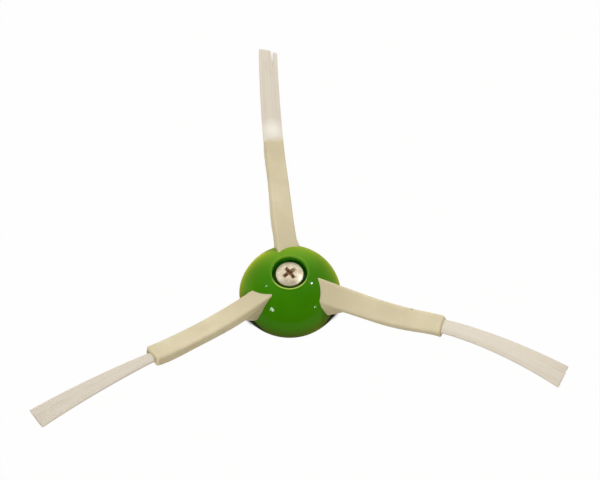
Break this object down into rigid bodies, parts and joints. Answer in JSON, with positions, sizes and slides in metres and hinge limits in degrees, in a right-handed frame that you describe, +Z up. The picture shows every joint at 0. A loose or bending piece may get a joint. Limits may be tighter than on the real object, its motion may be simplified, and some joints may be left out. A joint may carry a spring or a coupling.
{
  "type": "robot vacuum side brush",
  "caption": "Domed plastic hub with radial twisted elastomer arms that end in fanned bristle tufts, fixed to a drive post by a sunk cross-head screw; sweeps dust for a robot vacuum.",
  "frame": {"origin": "centre of the hub's flat base, on the spin axis, at the mouth of the drive socket", "axes": "+Z up along the spin axis from the base to the screw head; +X lies between two arms and the right arm points 23.5 degrees clockwise of it"},
  "size_m": [0.1293, 0.1186, 0.0165],
  "materials": {
    "hub_plastic": "glossy moulded plastic, grass green",
    "sleeve_elastomer": "satin moulded elastomer, cream",
    "bristle_nylon": "fine nylon filaments, off-white",
    "screw_metal": "bright plated steel"
  },
  "bodies": {
    "root": {"hub": "hub_plastic", "retaining_screw": "screw_metal", "arm_sleeve_right": "sleeve_elastomer", "arm_sleeve_back": "sleeve_elastomer", "arm_sleeve_left": "sleeve_elastomer", "bristle_tuft_right": "bristle_nylon", "bristle_tuft_back": "bristle_nylon", "bristle_tuft_left": "bristle_nylon"}
  },
  "joints": []
}
